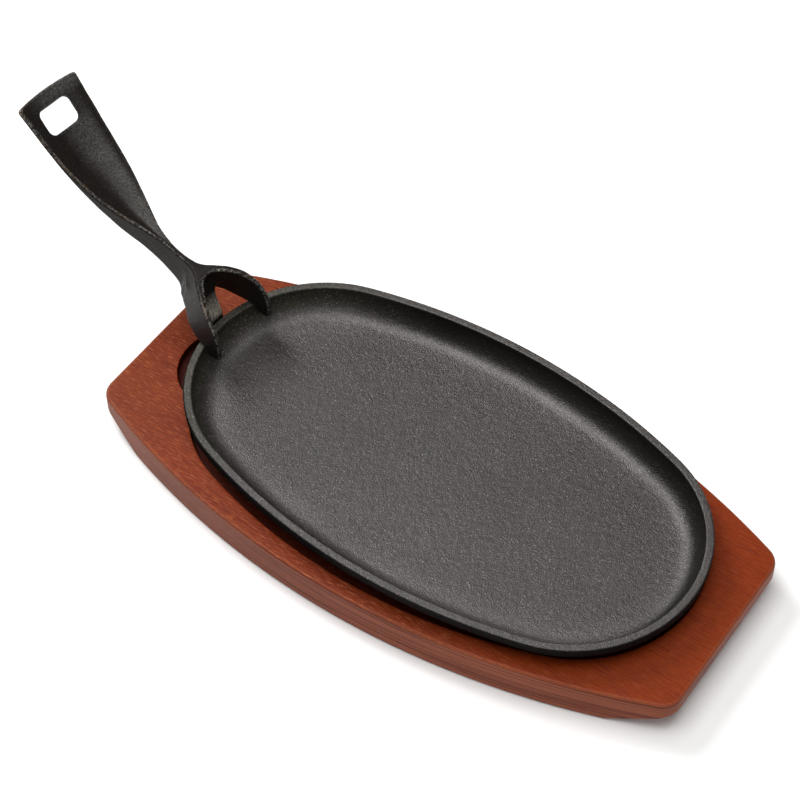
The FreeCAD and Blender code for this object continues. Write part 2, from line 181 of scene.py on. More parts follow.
def recess_reach(angle):
    """How far the recess with its tongue notch reaches from the board's middle."""
    points, _ = oval(136.3, 76.5, 64.2, 4000)
    turn = math.radians(0.5)
    x = points[:, 0] * math.cos(turn) - points[:, 1] * math.sin(turn) + 5.8
    y = points[:, 0] * math.sin(turn) + points[:, 1] * math.cos(turn) + 2.0
    around = np.arctan2(y, x)
    order = np.argsort(around)
    reach = np.interp(angle, around[order], np.hypot(x, y)[order], period=2 * np.pi)
    notch = np.array([-117.9, -2.0])
    radius = 26.9
    way = np.stack([np.cos(angle), np.sin(angle)], 1)
    along = way @ notch
    off = notch @ notch - along**2
    far = along + np.sqrt(np.maximum(radius**2 - off, 0))
    return np.where((off < radius**2) & (along > 0), np.maximum(reach, far), reach)


def make_board():
    plan, normals = board_outline()
    count = len(plan)
    way = plan / np.linalg.norm(plan, axis=1)[:, None]
    hollow = way * recess_reach(np.arctan2(plan[:, 1], plan[:, 0]))[:, None]
    run, rise = BEVEL
    foot = np.clip((np.abs(plan[:, 0]) - 163.0 + run) * rise / run, 0, None)
    floor, edge, lip = BOARD_TOP - 5.0, 1.5, 0.7
    floor_rings, wall_rings, lip_rings, top_rings, rubbed_rings = 3, 5, 6, 14, 4
    rings = [(hollow * share, np.full(count, floor)) for share in (0.4, 0.7, 0.9)]
    for angle in np.linspace(0, np.pi / 2, wall_rings):
        inset = 0.8 * (1 - math.sin(angle))
        climb = 0.8 * (1 - math.cos(angle))
        rings.append((hollow - way * inset, np.full(count, floor + climb)))
    for angle in np.linspace(0, np.pi / 2, lip_rings):
        out = lip * (1 - math.cos(angle))
        climb = lip * math.sin(angle)
        rings.append((hollow + way * out, np.full(count, BOARD_TOP - lip + climb)))
    inner, outer = hollow + way * lip, plan - normals * edge
    for share in np.linspace(0.08, 1, top_rings):
        rings.append((inner + (outer - inner) * share, np.full(count, BOARD_TOP)))
    for angle in np.linspace(0, np.pi / 2, 9)[1:]:
        out = edge * (1 - math.sin(angle))
        drop = edge * (1 - math.cos(angle))
        rings.append((plan - normals * out, np.full(count, BOARD_TOP - drop)))
    top, low = BOARD_TOP - edge, foot + edge
    for share in (0.25, 0.5, 0.75, 1):
        rings.append((plan, top + (low - top) * share))
    for angle in np.linspace(0, np.pi / 2, 9)[1:]:
        inset = edge * (1 - math.cos(angle))
        rings.append((plan - normals * inset, foot + edge * (1 - math.sin(angle))))
    points = np.concatenate([np.column_stack([ring, height]) for ring, height in rings])
    faces = [list(range(count))]
    for number in range(len(rings) - 1):
        faces += band((number + 1) * count, number * count, count)

    last = (len(rings) - 1) * count
    # The underside: one face at each straight end and strips across between them.
    under = plan - normals * edge
    half = count // 2
    straight = int(np.argmax(under[:, 0] < under[0, 0] - 1e-6)) - 1
    end_row = [last + i for i in range(straight + 2)]
    end_row += [last + (count - i) % count for i in range(straight + 1, 0, -1)]
    faces.append(end_row[::-1])
    for i in range(straight + 1, half - straight - 1):
        faces.append([last + i, last + count - i, last + count - i - 1, last + i + 1])
    far_end = half - straight - 1
    faces.append([last + i for i in range(far_end, count - far_end + 1)][::-1])
    board = add_mesh(
        "board_wood", points, faces, "board", "wooden_board", sharp=13
    )
    edge_start = (floor_rings + wall_rings + lip_rings + top_rings) * count
    side_start = edge_start + rubbed_rings * count
    rub_and_sheen = np.zeros(len(points))
    rub_and_sheen[edge_start:side_start] = 1.0
    add_attribute(board, "rub_and_sheen", rub_and_sheen)
    side = np.zeros(len(points))
    side[side_start:last] = 1.0
    add_attribute(board, "side", side)
    wall_start = floor_rings * count
    wall_stop = wall_start + (wall_rings + lip_rings // 2) * count
    # Painted shade for the recess: its floor is darkened part way, and its wall and lower lip
    # almost to black red, in the wood material.
    painted_recess_shade = np.zeros(len(points))
    painted_recess_shade[:wall_start] = 0.45
    painted_recess_shade[wall_start:wall_stop] = 1.0
    add_attribute(board, "painted_recess_shade", painted_recess_shade)
    return board


# ---------------------------------------------------------------- plate

def make_plate():
    count = 640
    outline, normals = oval(140.0, 78.8, 68.0, count)
    around = np.arctan2(outline[:, 1], outline[:, 0])
    sway = 0.16 * np.sin(3 * around + 0.8) + 0.1 * np.sin(7 * around + 2.1)
    height, rim, cove, floor = 18.3, 4.2, 12.0, 5.5
    floor_insets = (58, 50, 42, 34, 27, 22, 19)
    cove_rings, edge_rings, top_rings = 22, 7, 2
    # Each profile entry: inset from the outline, height, wear.
    profile = [(inset, floor, 0.0) for inset in floor_insets]
    for angle in np.linspace(0, np.pi / 2, cove_rings):
        inset = rim + cove * (1 - math.sin(angle))
        profile.append((inset, floor + cove * (1 - math.cos(angle)), 0.0))
    edge = height - floor - cove
    for angle in np.linspace(0, np.pi / 2, edge_rings + 1)[1:]:
        inset = rim - edge * (1 - math.cos(angle))
        profile.append((inset, height - edge + edge * math.sin(angle), 1.0))
    round_off = 0.9
    for share in (0.33, 0.67):
        profile.append((rim - edge - share * (rim - edge - round_off), height, 0.5))
    for angle in np.linspace(0, np.pi / 2, 9):
        drop = round_off * (1 - math.cos(angle))
        profile.append((round_off * (1 - math.sin(angle)), height - drop, 0.5))
    lip = height - 5.0
    profile += [(0.0, lip + 2.5, 0.0), (0.05, lip + 0.5, 0.2)]
    profile += [(0.5, lip, 0.2), (1.2, lip - 0.2, 0.0)]
    for share in np.linspace(0.08, 1, 14):
        bow = -1.1 * math.sin(share * math.pi)
        rise = (lip - 0.2) * (1 - share) + bow * 0.7 * (1 - share)
        profile.append((1.2 + share * 15.0 + bow * 0.7, rise, 0.0))
    profile += [(18.2, 0.0, 0.3), (24, 0.0, 0.0), (40, 0.0, 0.0), (58, 0.0, 0.0)]

    points, wear = [], []
    for inset, z, rub_and_sheen in profile:
        ring = outline - normals * inset
        lift = sway * min(max(z - floor, 0) / (height - floor), 1.0) * 0.5
        points.append(np.column_stack([ring, z + np.minimum(lift, 0)]))
        wear += [rub_and_sheen] * count
    points = np.concatenate(points)
    x, y = points[:, 0].copy(), points[:, 1].copy()
    points[:, 0] = x * math.cos(PLATE_TURN) - y * math.sin(PLATE_TURN) + PLATE_SPOT[0]
    points[:, 1] = x * math.sin(PLATE_TURN) + y * math.cos(PLATE_TURN) + PLATE_SPOT[1]
    points[:, 2] += PLATE_SPOT[2]
    faces = [list(range(count))]
    for number in range(len(profile) - 1):
        faces += band((number + 1) * count, number * count, count)
    faces.append(list(range((len(profile) - 1) * count, len(profile) * count))[::-1])
    plate = add_mesh(
        "plate_casting", points, faces, "plate", "sizzle_plate", sharp=50
    )
    add_attribute(plate, "rub_and_sheen", wear)
    ring = np.arange(len(wear)) // count
    cove_start = len(floor_insets)
    edge_start = cove_start + cove_rings
    outside = edge_start + edge_rings + top_rings
    # Painted shade from the rim's outer rounding down over the lip face and underside: near
    # black and barely shiny in the plate material.
    add_attribute(plate, "painted_outer_shade", np.clip(ring - outside, 0, 5) / 5)
    # Painted shade on the upper inner wall, which is also made duller, and a painted highlight
    # round the foot of the cove, which is also made shinier.
    painted_wall_shade = np.clip((ring - cove_start - 5.5) / 4, 0, 1)
    add_attribute(plate, "painted_wall_shade", np.where(ring < edge_start + 4, painted_wall_shade, 0.0))
    painted_cove_highlight = np.interp(ring - cove_start, (-3, 1, 4, 7), (0, 1, 1, 0))
    add_attribute(plate, "painted_cove_highlight", painted_cove_highlight)
    return plate


# ---------------------------------------------------------------- gripper

def smooth_max(a, b, k):
    h = np.maximum(k - np.abs(a - b), 0.0) / k
    return np.maximum(a, b) + h * h * k / 4


def smooth_min(a, b, k):
    return -smooth_max(-a, -b, k)


def inside_of(px, py, corners):
    """Signed distance from points to a closed polygon, below zero inside it."""
    best = np.full(px.shape, 1e9)
    inside = np.zeros(px.shape, bool)
    corners = np.asarray(corners, float)
    for (ax, ay), (bx, by) in zip(corners, np.roll(corners, -1, 0)):
        ex, ey = bx - ax, by - ay
        span = ex * ex + ey * ey
        if span < 1e-9:
            continue
        t = np.clip(((px - ax) * ex + (py - ay) * ey) / span, 0, 1)
        best = np.minimum(best, (px - ax - t * ex) ** 2 + (py - ay - t * ey) ** 2)
        if ey:
            inside ^= ((ay > py) != (by > py)) & (px < ax + (py - ay) * ex / ey)
    return np.where(inside, -1.0, 1.0) * np.sqrt(best)


def along(out, up):
    """Reach along the handle and rise square to it, for a spot given outwards and upwards."""
    return (
        out * math.cos(TILT) + up * math.sin(TILT),
        up * math.cos(TILT) - out * math.sin(TILT),
    )


def raised(reach, rise):
    """The other way round: outwards and upwards from reach and rise."""
    return (
        reach * math.cos(TILT) - rise * math.sin(TILT),
        reach * math.sin(TILT) + rise * math.cos(TILT),
    )


def tongue_depth(out, up):
    """Depth into the leaning tongue from its outer face."""
    return (out - TONGUE_OUT) * math.cos(TONGUE_LEAN) - up * math.sin(TONGUE_LEAN)


def both_sides(reaches, halves):
    """Closed plan outline from half widths along the handle."""
    reaches, halves = np.asarray(reaches, float), np.asarray(halves, float)
    dense = np.linspace(reaches[0], reaches[-1], 160)
    width = curve(dense, reaches, halves)
    return np.concatenate([
        np.stack([dense, width], 1),
        np.stack([dense, -width], 1)[::-1],
    ])


def rounded_box(s, y, middle, half_s, half_y, corner):
    ds = np.abs(s - middle) - half_s + corner
    dy = np.abs(y) - half_y + corner
    outside = np.hypot(np.maximum(ds, 0), np.maximum(dy, 0))
    return outside + np.minimum(np.maximum(ds, dy), 0) - corner


def gripper_field(s, y, n):
    """Distance to the gripper's surface over a grid of reach, side and rise."""
    plan_s, plan_y = s[:, :, 0], y[:, :, 0]
    side_s, side_n = s[:, 0, :], n[:, 0, :]

    outer = inside_of(plan_s, plan_y, both_sides(
        (5, 12, 19.5, 25.2, 30, 35.6, 39.4, 45, 48.3, 51.7, 53.8, 56.9, 63, 72),
        (19.1, 19.3, 19.2, 18.6, 17.5, 15.6, 13.5, 9.6, 6.7, 3.9, 2.7, 1.9, 1.55, 1.7),
    ))
    inner = inside_of(plan_s, plan_y, both_sides(
        (-5, 14.5, 18.9, 25, 29.5, 35, 38.6, 42.1, 44.6, 45.8, 46.2),
        (16.7, 16.7, 16.6, 16.0, 14.7, 12.2, 10.0, 7.1, 4.2, 2.0, 0.1),
    ))
    crest = [
        along(19.8 - 25.1 * math.cos(a), 36.3 + 25.1 * math.sin(a))
        for a in np.linspace(0, 1.571, 24)
    ]
    lower = [
        along(u, z) for u, z in (
            (-5.3, 31.8), (-5.0, 30.5), (-4.1, 29.4), (-2.3, 28.8), (1.9, 28.8), (2.9, 29.1),
            (3.3, 30.2), (4.05, 34.1), (10.5, 34.4), (14.5, 35.9), (19.5, 38.7), (24.0, 41.4),
            (33.5, 41.5), (46.0, 46.2), (54.0, 50.6),
        )
    ]
    upper = [(76.0, 32.6), (66.0, 34.9), (60.0, 37.0), (56.9, 38.3), (53.8, 39.6), (51.0, 41.0)]
    upper += [(48.3, 42.8), (45.0, 44.3)]
    side = inside_of(side_s, side_n, [*lower, *upper, *crest[::-1]])
    fork = smooth_max(outer[:, :, None], side[:, None, :], 1.2)
    fork = smooth_max(fork, -inner[:, :, None], 1.2)

    out, up = raised(s, n)
    # The far prong reaches a little less far down.
    short = smooth_max(fork, 30.3 - up, 1.6)
    fork = np.where((y > 0) & (out < 7), short, fork)

    depth = tongue_depth(out, up)
    swell = curve(np.clip(up, 20, 56), (20, 30, 36, 41, 46, 52), (4.6, 4.6, 4.3, 3.9, 4.6, 6.0))
    tongue = smooth_max(np.abs(y) - swell, np.abs(depth - 2.5) - 2.5, 1.2)
    tongue = smooth_max(tongue, 24.0 - up, 1.6)
    tongue = smooth_max(tongue, up - 52.0, 1.6)
    web_side = inside_of(side_s, side_n, [
        along(u, z) for u, z in (
            (16.0, 33.0), (18.5, 41.0), (20.4, 47.5), (21.5, 52.5), (24.0, 55.5), (29.5, 52.0),
            (30.0, 43.0), (26.0, 41.0), (22.5, 37.5), (19.6, 33.0),
        )
    ])
    web = smooth_max(np.abs(y) - 3.6, web_side[:, None, :], 1.6)
    fork = smooth_min(fork, smooth_min(web, tongue, 2.5), 5.2)

    half = curve(s, GRIP_REACH, GRIP_HALF)
    top = curve(s, GRIP_REACH, (
        42.9, 39.6, 37.0, 34.9, 33.2, 32.0, 31.5, 31.4, 31.6, 32.1, 32.9, 34.0, 36.1, 38.7,
        42.0, 45.8,
    ))
    hem = curve(s, GRIP_REACH, (
        19.6, 18.5, 17.4, 16.9, 16.7, 17.1, 18.4, 20.3, 23.1, 25.9, 28.4, 30.8, 33.6, 36.7,
        39.9, 43.4,
    ))
    dish = curve(s, GRIP_REACH, (
        0.0, 0.0, 0.1, 0.2, 0.5, 1.1, 2.3, 3.6, 4.7, 5.3, 5.5, 5.4, 5.1, 4.6, 3.5, 0.5,
    ))
    rim = np.clip(half * 0.2, 0.3, 1.3)
    t = np.clip(np.abs(y) / np.maximum(half - rim, 0.3), 0, 1)
    vee = 1 - np.sqrt(t * t + 0.02) * 0.99
    bowl = 1 - t * t
    mix = np.clip((s - 92.0) / 45.0, 0, 1)
    scoop = dish * np.clip(vee * (1 - mix) + bowl * mix, 0, 1) * 1.05
    skin = 0.16 * ripple(s, y, 3)
    ceiling = (n - top + scoop + skin) * 0.93
    belly = top - dish - 3.6
    sag = np.maximum(hem - belly, 0.6)
    bottom = hem - sag * (1 - np.clip(np.abs(y) / half, 0, 1) ** 2)
    shoulder = np.where(y > 0, np.clip(half * 0.2, 0.8, 2.6), 1.0)
    grip = smooth_max(np.abs(y) - half + 0.06 * ripple(s, n, 5), ceiling, shoulder)
    grip = smooth_max(grip, (bottom - n) * 0.95, 1.6)
    tip = np.hypot(s - (167.6 - 110.0), y) - 110.0
    grip = smooth_max(grip, tip, 1.8)
    turn = np.clip((s - 54.0) / 9.0, 0, 1)
    turn = turn * turn * (3 - 2 * turn)
    body = fork * (1 - turn) + grip * turn
    hole = rounded_box(s, y, 153.6, 6.5, 9.5, 3.2)
    return smooth_max(body, -hole, 1.4)


def surface(field, low, step):
    """Closed surface where the field crosses zero: one point in each crossed cell."""
    corners = [(a, b, c) for a in (0, 1) for b in (0, 1) for c in (0, 1)]
    size = [n - 1 for n in field.shape]
    below = field < 0
    tally = np.zeros(size, np.int8)
    for a, b, c in corners:
        tally += below[a:a + size[0], b:b + size[1], c:c + size[2]]
    cells = np.argwhere((tally > 0) & (tally < 8))
    number = np.full(size, -1, np.int64)
    number[tuple(cells.T)] = np.arange(len(cells))
    values = [field[tuple((cells + corner).T)] for corner in corners]
    total, hits = np.zeros((len(cells), 3)), np.zeros(len(cells))
    for i in range(8):
        for j in range(i + 1, 8):
            first, second = np.array(corners[i]), np.array(corners[j])
            if np.abs(first - second).sum() != 1:
                continue
            crossed = (values[i] < 0) != (values[j] < 0)
            share = values[i][crossed] / (values[i][crossed] - values[j][crossed])
            total[crossed] += first + share[:, None] * (second - first)
            hits[crossed] += 1
    points = np.asarray(low) + (cells + total / hits[:, None]) * step
    faces = []
    for axis in range(3):
        one, two = [(1, 2), (2, 0), (0, 1)][axis]
        near = [slice(1, -1)] * 3
        near[axis] = slice(0, -1)
        far = list(near)
        far[axis] = slice(1, None)
        start, stop = below[tuple(near)], below[tuple(far)]
        for flipped in (False, True):
            mask = (~start & stop) if flipped else (start & ~stop)
            spots = np.argwhere(mask)
            base = spots + 1
            base[:, axis] -= 1
            quad = []
            for back_one, back_two in ((1, 1), (0, 1), (0, 0), (1, 0)):
                cell = base.copy()
                cell[:, one] -= back_one
                cell[:, two] -= back_two
                quad.append(number[tuple(cell.T)])
            quad = np.stack(quad[::-1] if flipped else quad, 1)
            faces.append(quad)
    return points, np.concatenate(faces), cells


def make_gripper():
    step = 0.45
    low = np.array([5.0, -22.5, 7.0])
    high = np.array([172.0, 22.5, 49.0])
    axes = [np.arange(a, b, step) for a, b in zip(low, high)]
    s, y, n = np.meshgrid(*axes, indexing="ij")
    field = gripper_field(s, y, n)
    points, faces, cells = surface(field, low, step)
    # How sharply the surface bends, from the field's spread two grid steps either way.
    reach = 2
    wide = np.pad(field, reach, mode="edge")
    spot = cells + reach
    middle = wide[tuple(spot.T)]
    bend = -6 * middle
    for axis in range(3):
        for way in (-reach, reach):
            moved = spot.copy()
            moved[:, axis] += way
            bend = bend + wide[tuple(moved.T)]
    bend = bend / (reach * step) ** 2

    s, y, n = points.T
    out, up = raised(s, n)
    placed = np.stack([
        HOOK_SPOT[0] - out * math.cos(HOOK_TURN) - y * math.sin(HOOK_TURN),
        HOOK_SPOT[1] - out * math.sin(HOOK_TURN) + y * math.cos(HOOK_TURN),
        up,
    ], 1)
    gripper = add_mesh(
        "gripper_casting", placed, faces[:, ::-1].tolist(), "gripper", "gripper_handle",
    )
    # Edge wear along the sharpest convex bends, partly a painted highlight along the gripper's
    # crests.
    fork_rub_sheen = np.clip((bend - 0.64) / 0.5, 0, 1)
    grip_rub_sheen = np.clip((bend - 0.75) / 0.8, 0, 1)
    rub_and_sheen = np.where(s < 56, fork_rub_sheen, grip_rub_sheen)
    add_attribute(gripper, "rub_and_sheen", rub_and_sheen)
    # Painted highlight: a lighter gritty band up the trough's +y slope, fading near the hole,
    # and across the tip; the band is also rougher and shinier.
    half = curve(s, GRIP_REACH, GRIP_HALF)
    share = y / half
    slope = np.clip((share + 0.3) / 0.45, 0, 1) * np.clip((0.84 - share) / 0.2, 0, 1)
    scoop = slope * np.clip((s - 70) / 10, 0, 1) * np.clip((n - 26) / 3, 0, 1)
    scoop *= 1 - 0.6 * np.clip((s - 143) / 6, 0, 1)
    scoop += 1.1 * np.clip((s - 158) / 5, 0, 1) * np.clip((share + 0.7) / 0.5, 0, 1)
    # Painted light on the tongue's outer face, which the arch above keeps in shade; it fades
    # out towards the tongue's foot, where the face stays dark.
    tongue_light_mask = np.clip((1.4 - tongue_depth(out, up)) / 0.8, 0, 1)
    tongue_light_mask *= np.clip((5.2 - np.abs(y)) / 0.8, 0, 1)
    tongue_light_mask *= np.clip((out - 11) / 1.5, 0, 1) * np.clip((46 - up) / 10, 0, 1) * (s < 50)
    tongue_light_mask *= np.clip((up - 30.5) / 1.8, 0, 1)
    add_attribute(gripper, "grit_and_sheen", scoop * 0.5)
    add_attribute(gripper, "painted_tongue_light", tongue_light_mask)
    return gripper


# ---------------------------------------------------------------- materials

class Nodes:
    """Short calls for building one node material."""

    def __init__(self, name):
        self.material = bpy.data.materials.new(name)
        self.material.use_nodes = True
        self.tree = self.material.node_tree
        self.tree.nodes.clear()
        self.shader = self.tree.nodes.new("ShaderNodeBsdfPrincipled")
        output = self.tree.nodes.new("ShaderNodeOutputMaterial")
        self.tree.links.new(self.shader.outputs[0], output.inputs["Surface"])
        self.place = self.tree.nodes.new("ShaderNodeTexCoord").outputs["Object"]

    def link(self, value, socket):
        if isinstance(value, bpy.types.NodeSocket):
            self.tree.links.new(value, socket)
        elif value is not None:
            socket.default_value = value

    def stretch(self, scale):
        node = self.tree.nodes.new("ShaderNodeMapping")
        self.link(self.place, node.inputs["Vector"])
        node.inputs["Scale"].default_value = scale
        return node.outputs[0]

    def noise(self, scale, detail=2.0, rough=0.5, where=None, distortion=0.0):
        node = self.tree.nodes.new("ShaderNodeTexNoise")
        self.link(where or self.place, node.inputs["Vector"])
        node.inputs["Scale"].default_value = scale
        node.inputs["Detail"].default_value = detail
        node.inputs["Roughness"].default_value = rough
        node.inputs["Distortion"].default_value = distortion
        return node.outputs["Fac"]

    def cells(self, scale):
        node = self.tree.nodes.new("ShaderNodeTexVoronoi")
        self.link(self.place, node.inputs["Vector"])
        node.inputs["Scale"].default_value = scale
        return node.outputs

    def math(self, kind, a, b=None, clamp=False):
        node = self.tree.nodes.new("ShaderNodeMath")
        node.operation = kind
        node.use_clamp = clamp
        self.link(a, node.inputs[0])
        self.link(b, node.inputs[1])
        return node.outputs[0]

    def span(self, value, low, high, to_low=0.0, to_high=1.0):
        node = self.tree.nodes.new("ShaderNodeMapRange")
        node.interpolation_type = "SMOOTHSTEP"
        self.link(value, node.inputs["Value"])
        for word, number in (
            ("From Min", low), ("From Max", high), ("To Min", to_low), ("To Max", to_high)
        ):
            node.inputs[word].default_value = number
        return node.outputs[0]

    def mix(self, share, a, b):
        node = self.tree.nodes.new("ShaderNodeMix")
        node.data_type = "RGBA"
        self.link(share, node.inputs["Factor"])
        for value, socket in ((a, node.inputs[6]), (b, node.inputs[7])):
            self.link((*value, 1) if isinstance(value, tuple) else value, socket)
        return node.outputs[2]

    def attribute(self, name):
        node = self.tree.nodes.new("ShaderNodeAttribute")
        node.attribute_name = name
        return node.outputs["Fac"]

    def bump(self, height, distance, strength, under=None):
        node = self.tree.nodes.new("ShaderNodeBump")
        node.inputs["Strength"].default_value = strength
        node.inputs["Distance"].default_value = distance
        self.link(height, node.inputs["Height"])
        self.link(under, node.inputs["Normal"])
        return node.outputs[0]

    def split(self, vector):
        node = self.tree.nodes.new("ShaderNodeSeparateXYZ")
        self.link(vector, node.inputs[0])
        return node.outputs

    def finish(self, color, roughness, normal, **shader):
        self.link(color, self.shader.inputs["Base Color"])
        self.link(roughness, self.shader.inputs["Roughness"])
        self.link(normal, self.shader.inputs["Normal"])
        for word, value in shader.items():
            self.link(value, self.shader.inputs[word.replace("_", " ")])
        return self.material


def sparkle(nodes, scale, size, chance):
    """Small spots, each in a random cell: painted glints on the iron, dark dots in the wood."""
    cells = nodes.cells(scale)
    near = nodes.span(cells["Distance"], size, size * 0.35)
    picked = nodes.span(nodes.split(cells["Color"])[0], 1 - chance, 1 - chance * 0.5)
    return nodes.math("MULTIPLY", near, picked)


def plate_iron():
    nodes = Nodes("seasoned cast iron plate")
    grain = nodes.noise(1900, 3, 0.6)
    pebble = nodes.noise(1250, 2, 0.6)
    mottle = nodes.noise(330, 3, 0.6)
    cloud = nodes.noise(16, 3, 0.55)
    patch = nodes.noise(42, 4, 0.6)
    glints = sparkle(nodes, 760, 0.27, 0.6)
    fine_glints = sparkle(nodes, 1500, 0.5, 0.7)
    rub_and_sheen, painted_outer_shade = nodes.attribute("rub_and_sheen"), nodes.attribute("painted_outer_shade")
    painted_wall_shade, painted_cove_highlight = nodes.attribute("painted_wall_shade"), nodes.attribute("painted_cove_highlight")
    uneven = nodes.span(nodes.noise(30, 3, 0.5), 0.3, 0.7, 0.5, 1)
    painted_cove_highlight = nodes.math("MULTIPLY", painted_cove_highlight, uneven)
    color = nodes.mix(
        nodes.span(grain, 0.35, 0.68), (0.0090, 0.0066, 0.0063), (0.0275, 0.0212, 0.0205)
    )
    color = nodes.mix(nodes.span(cloud, 0.4, 0.66, 0, 0.4), color, (0.032, 0.028, 0.024))
    color = nodes.mix(nodes.span(patch, 0.56, 0.74, 0, 0.3), color, (0.019, 0.017, 0.016))
    x, _, z = nodes.split(nodes.place)
    stain = nodes.math("MULTIPLY", nodes.span(x, -0.06, -0.11), nodes.span(z, 0.0222, 0.0265))
    color = nodes.mix(nodes.math("MULTIPLY", stain, 0.8), color, (0.028, 0.027, 0.014))
    color = nodes.mix(nodes.span(mottle, 0.38, 0.62, 0.5, 0), color, (0.012, 0.010, 0.0096))
    # Painted glints: small light specks over the iron.
    color = nodes.mix(nodes.math("MULTIPLY", glints, 0.85), color, (0.25, 0.225, 0.215))
    color = nodes.mix(nodes.math("MULTIPLY", fine_glints, 0.5), color, (0.125, 0.112, 0.107))
    worn_and_sheen = nodes.math("MULTIPLY", rub_and_sheen, nodes.span(pebble, 0.42, 0.62))
    color = nodes.mix(nodes.math("MULTIPLY", worn_and_sheen, 0.35), color, (0.10, 0.098, 0.082))
    # Painted shade: the plate's outside goes near black.
    color = nodes.mix(nodes.math("MULTIPLY", painted_outer_shade, 0.9), color, (0.0045, 0.0042, 0.0042))
    # Painted highlight lightens the foot of the cove; painted shade darkens the upper inner
    # wall, more so away from the left end.
    color = nodes.mix(nodes.math("MULTIPLY", painted_cove_highlight, 0.35), color, (0.045, 0.0405, 0.0395))
    painted_wall_shade = nodes.math("MULTIPLY", painted_wall_shade, nodes.span(x, -0.11, -0.04, 0.15, 0.85))
    color = nodes.mix(painted_wall_shade, color, (0.0060, 0.0056, 0.0052))
    rough = nodes.span(mottle, 0.35, 0.65, 0.40, 0.31)
    height = nodes.math("ADD", pebble, nodes.math("MULTIPLY", grain, 0.8))
    height = nodes.math("ADD", height, nodes.math("MULTIPLY", mottle, 1.2))
    normal = nodes.bump(height, 0.00032, 0.85)
    normal = nodes.bump(patch, 0.0012, 0.25, normal)
    shine = nodes.math("SUBTRACT", 0.60, nodes.math("MULTIPLY", painted_outer_shade, 0.58))
    shine = nodes.math("SUBTRACT", shine, nodes.math("MULTIPLY", stain, 0.2))
    shine = nodes.math("SUBTRACT", shine, nodes.math("MULTIPLY", painted_wall_shade, 0.5))
    shine = nodes.math("ADD", shine, nodes.math("MULTIPLY", painted_cove_highlight, 0.3))
    shine = nodes.math("SUBTRACT", shine, nodes.span(x, 0.03, -0.11, 0, 0.09), clamp=True)
    return nodes.finish(
        color, rough, normal, Specular_IOR_Level=shine, Specular_Tint=(1.0, 0.955, 0.945, 1.0)
    )


def handle_iron():
    nodes = Nodes("seasoned cast iron handle")
    grain = nodes.noise(1500, 3, 0.6)
    pebble = nodes.noise(900, 2, 0.55)
    cloud = nodes.noise(60, 4, 0.6)
    glints = sparkle(nodes, 800, 0.3, 0.4)
    rub_and_sheen, grit_and_sheen = nodes.attribute("rub_and_sheen"), nodes.attribute("grit_and_sheen")
    color = nodes.mix(
        nodes.span(grain, 0.35, 0.7), (0.0072, 0.0058, 0.0053), (0.0175, 0.0142, 0.0132)
    )
    color = nodes.mix(nodes.span(cloud, 0.45, 0.7, 0, 0.5), color, (0.014, 0.011, 0.008))
    # Painted highlight: the gritty band is lighter.
    grit_sheen = nodes.math("MULTIPLY", grit_and_sheen, nodes.span(pebble, 0.36, 0.62, 0.15, 1.0))
    color = nodes.mix(nodes.math("MULTIPLY", grit_sheen, 0.85), color, (0.080, 0.075, 0.069))
    rust = nodes.math("MULTIPLY", nodes.span(cloud, 0.5, 0.62), nodes.span(rub_and_sheen, 0.05, 0.5))
    color = nodes.mix(nodes.math("MULTIPLY", rust, 0.6), color, (0.10, 0.060, 0.030))
    # Painted light: the tongue's outer face is made much lighter.
    painted_tongue_light = nodes.math(
        "MULTIPLY", nodes.attribute("painted_tongue_light"), nodes.span(pebble, 0.34, 0.6, 0.35, 1.0)
    )
    color = nodes.mix(painted_tongue_light, color, (0.36, 0.33, 0.27))
    # Painted glints: light specks, denser on the gritty band.
    glint_share = nodes.math("ADD", nodes.math("MULTIPLY", grit_and_sheen, 0.6), 0.1)
    glint_share = nodes.math("MULTIPLY", glints, glint_share)
    color = nodes.mix(glint_share, color, (0.28, 0.27, 0.26))
    # Worn edges, partly a painted highlight: a light colour along the crests.
    worn_and_sheen = nodes.math("MULTIPLY", rub_and_sheen, nodes.span(pebble, 0.4, 0.6))
    color = nodes.mix(nodes.math("MULTIPLY", worn_and_sheen, 0.6), color, (0.34, 0.32, 0.29))
    rough = nodes.span(grain, 0.3, 0.7, 0.34, 0.48)
    height = nodes.math("ADD", pebble, nodes.math("MULTIPLY", grain, 0.5))
    strength = nodes.math("ADD", nodes.math("MULTIPLY", grit_and_sheen, 0.8), 0.3)
    normal = nodes.bump(nodes.math("MULTIPLY", height, strength), 0.00055, 0.9)
    normal = nodes.bump(cloud, 0.0015, 0.25, normal)
    shine = nodes.math("ADD", nodes.math("MULTIPLY", grit_and_sheen, 0.52), 0.06)
    return nodes.finish(
        color, rough, normal, Specular_IOR_Level=shine, Specular_Tint=(1.0, 0.96, 0.94, 1.0)
    )


